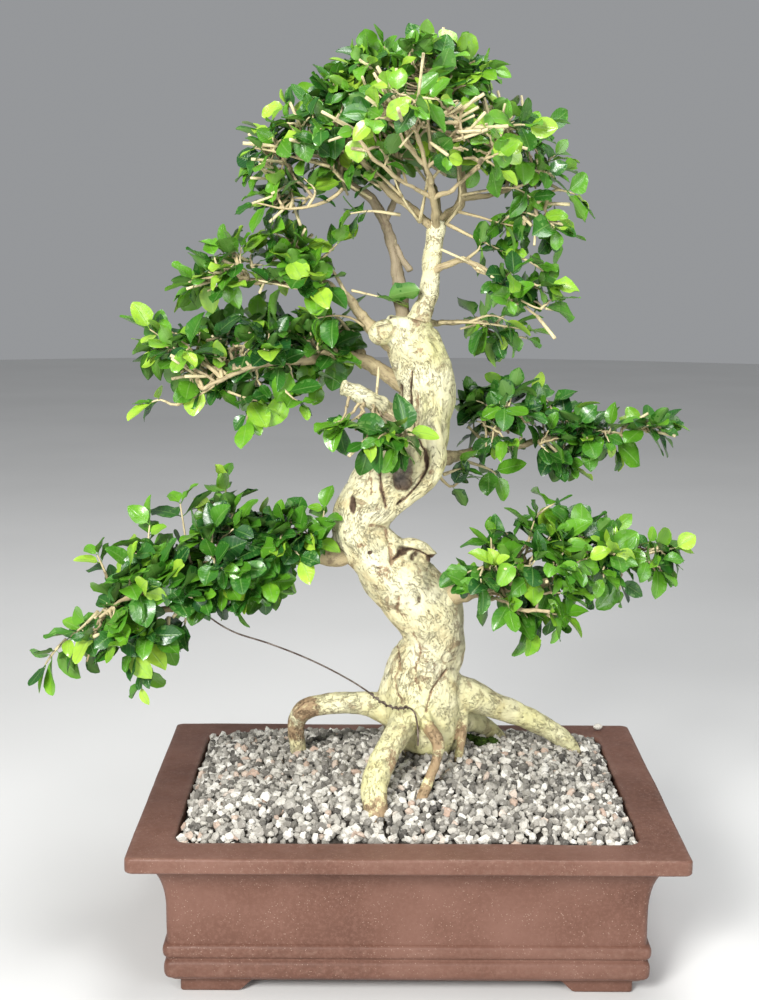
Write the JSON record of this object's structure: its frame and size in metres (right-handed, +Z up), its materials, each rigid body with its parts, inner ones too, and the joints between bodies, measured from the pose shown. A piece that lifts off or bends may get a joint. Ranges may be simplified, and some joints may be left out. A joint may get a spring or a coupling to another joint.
{
  "type": "bonsai tree in a pot",
  "caption": "Small-leaved broadleaf bonsai with an S-curved trunk, arched surface roots and leafy pads, in a rectangular footed pot.",
  "frame": {"origin": "on the surface the pot stands on, under the centre of the whole object's bounding box", "axes": "+Z up along the tree, -Y the front of the tree and pot, +X along the pot's long side to the viewer's right"},
  "size_m": [0.3822, 0.229, 0.5335],
  "materials": {
    "stoneware": "matte",
    "gravel": "matte",
    "soil": "matte",
    "bark": "matte",
    "twig_bark": "matte",
    "leaf": "satin",
    "wire": "satin",
    "plastic_mesh": "matte"
  },
  "bodies": {
    "root": {"branch_crown_back": "twig_bark", "branch_crown_front": "twig_bark", "branch_crown_left": "twig_bark", "branch_crown_right": "twig_bark", "branch_lower_left": "twig_bark", "branch_lower_right": "twig_bark", "branch_middle_left": "twig_bark", "branch_middle_right": "twig_bark", "branch_small_back": "twig_bark", "branch_small_right": "twig_bark", "branch_stub": "twig_bark", "branch_upper_left": "twig_bark", "drain_screen_left": "plastic_mesh", "drain_screen_right": "plastic_mesh", "gravel_top_dressing": "gravel", "guy_wire": "wire", "leader_left": "bark", "leader_right": "bark", "leaves_crown_back": "leaf", "leaves_crown_front": "leaf", "leaves_crown_left": "leaf", "leaves_crown_right": "leaf", "leaves_crown_top": "leaf", "leaves_lower_left": "leaf", "leaves_lower_right": "leaf", "leaves_middle_left": "leaf", "leaves_middle_right": "leaf", "leaves_small_back": "leaf", "leaves_small_right": "leaf", "leaves_stub": "leaf", "leaves_upper_left": "leaf", "loose_pebble": "gravel", "pot_floor": "stoneware", "pot_foot_back_left": "stoneware", "pot_foot_back_right": "stoneware", "pot_foot_front_left": "stoneware", "pot_foot_front_right": "stoneware", "pot_walls": "stoneware", "potting_soil": "soil", "screen_clip_left": "wire", "screen_clip_right": "wire", "trunk_and_surface_roots": "bark"}
  },
  "joints": []
}
